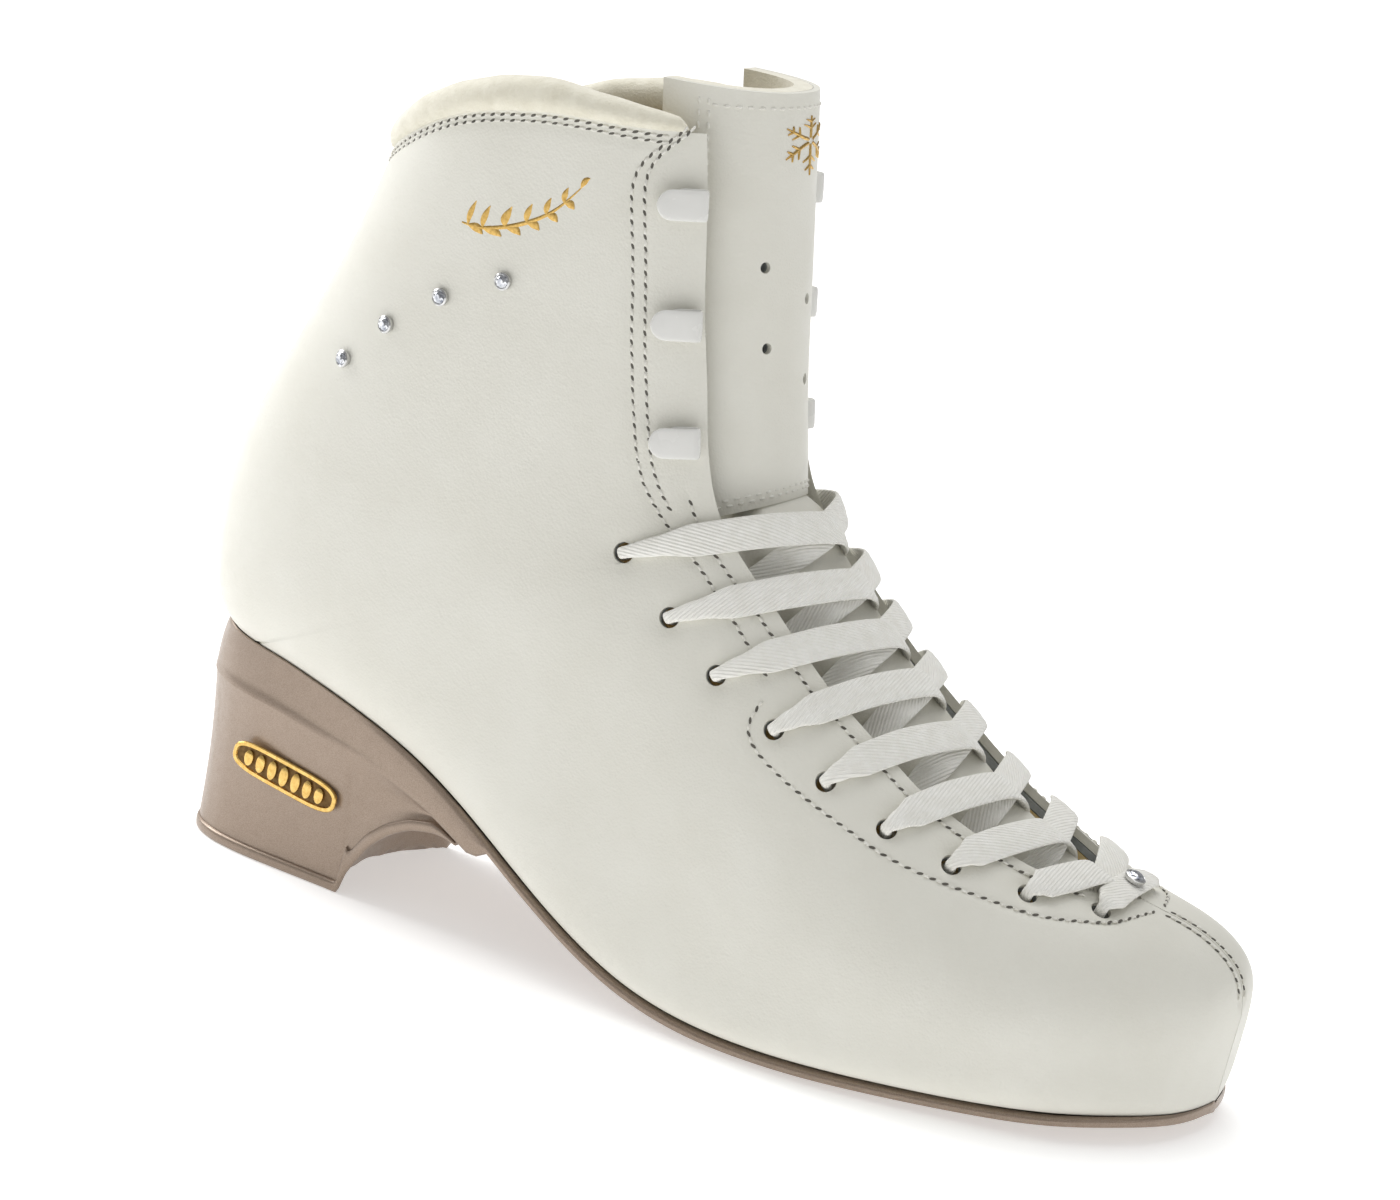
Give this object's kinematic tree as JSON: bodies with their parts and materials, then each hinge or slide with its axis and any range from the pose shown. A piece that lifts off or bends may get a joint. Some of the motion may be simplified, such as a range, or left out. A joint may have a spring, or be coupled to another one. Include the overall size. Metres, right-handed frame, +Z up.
{
  "type": "figure skating boot",
  "caption": "Right-foot lace-up figure skating boot with a raised heel, padded collar, criss-cross laces, speed hooks and a forward-folding tongue; no blade.",
  "frame": {"origin": "centre of the footprint on the ground, below the middle of the bounding box", "axes": "+X towards the toe, +Y towards the inner (medial) side of the right foot, +Z up"},
  "size_m": [0.2712, 0.0894, 0.2105],
  "materials": {
    "white_leather": "smooth coated leather, off-white",
    "grey_foam": "closed-cell foam",
    "tan_lining": "soft tan lining leather",
    "stiff_board": "moulded fibre board",
    "cork": "pressed cork",
    "footbed_foam": "foam covered in cream suede",
    "cream_suede": "brushed suede",
    "taupe_sole": "moulded, pearl taupe paint",
    "gold_metal": "polished gold plate",
    "woven_lace": "flat waxed weave",
    "clear_tip": "clear film",
    "steel": "nickel plated",
    "crystal": "cut crystal",
    "white_enamel": "white enamel"
  },
  "bodies": {
    "boot": {"upper_lateral": "white_leather", "upper_medial": "white_leather", "tongue_lower_leather": "white_leather", "padding_lateral": "grey_foam", "padding_medial": "grey_foam", "tongue_lower_foam": "grey_foam", "lining_lateral": "tan_lining", "lining_medial": "tan_lining", "toe_box": "stiff_board", "heel_counter": "stiff_board", "lasting_board": "stiff_board", "bottom_filler": "cork", "footbed": "footbed_foam", "collar_pad": "cream_suede", "tongue_lower_lining": "cream_suede", "outsole": "taupe_sole", "heel": "taupe_sole", "heel_badge": "gold_metal", "lace": "woven_lace", "aglet_lateral": "clear_tip", "aglet_medial": "clear_tip", "lace_jewel_setting": "steel", "lace_jewel": "crystal", "crystal_setting_1": "steel", "crystal_1": "crystal", "crystal_setting_2": "steel", "crystal_2": "crystal", "crystal_setting_3": "steel", "crystal_3": "crystal", "crystal_setting_4": "steel", "crystal_4": "crystal", "hook_lateral_1": "white_enamel", "hook_lateral_2": "white_enamel", "hook_lateral_3": "white_enamel", "hook_medial_1": "white_enamel", "hook_medial_2": "white_enamel", "hook_medial_3": "white_enamel", "rivet_lateral_1": "steel", "rivet_lateral_2": "steel", "rivet_lateral_3": "steel", "rivet_medial_1": "steel", "rivet_medial_2": "steel", "rivet_medial_3": "steel"},
    "tongue_flap": {"tongue_upper_leather": "white_leather", "tongue_upper_foam": "grey_foam", "tongue_upper_lining": "cream_suede"}
  },
  "joints": [
    {"name": "tongue_hinge", "type": "hinge", "parent": "boot", "child": "tongue_flap", "pos_m": [0.01126, 0.0013, 0.119], "axis": [0, 1, 0], "range_deg": [0, 38]}
  ]
}
